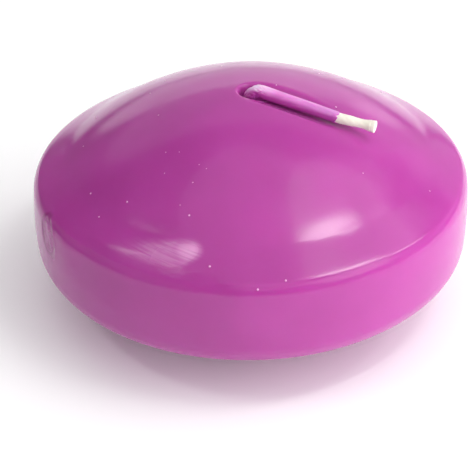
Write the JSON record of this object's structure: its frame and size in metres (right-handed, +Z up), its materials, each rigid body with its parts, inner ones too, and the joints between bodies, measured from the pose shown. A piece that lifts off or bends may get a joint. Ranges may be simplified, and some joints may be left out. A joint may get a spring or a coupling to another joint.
{
  "type": "floating candle",
  "caption": "Lens-shaped wax disc with a domed top, an upright band and a rounded underside, and a wax-dipped cotton wick folded over onto the dome.",
  "frame": {"origin": "centre of the flat base, on the surface that the candle stands on", "axes": "+Z up along the candle's axis, +X towards the free end of the folded wick"},
  "size_m": [0.075, 0.075, 0.0396],
  "materials": {
    "wax": "glossy dipped wax, magenta purple, slightly translucent",
    "cotton": "bare braided cotton, off white",
    "wax_coat": "thin dipped wax over the cotton, satin",
    "tab_metal": "plain pressed sheet, satin"
  },
  "bodies": {
    "root": {"wax_body": "wax", "wick": "cotton", "wick_coating": "wax_coat", "wick_tab": "tab_metal"}
  },
  "joints": []
}
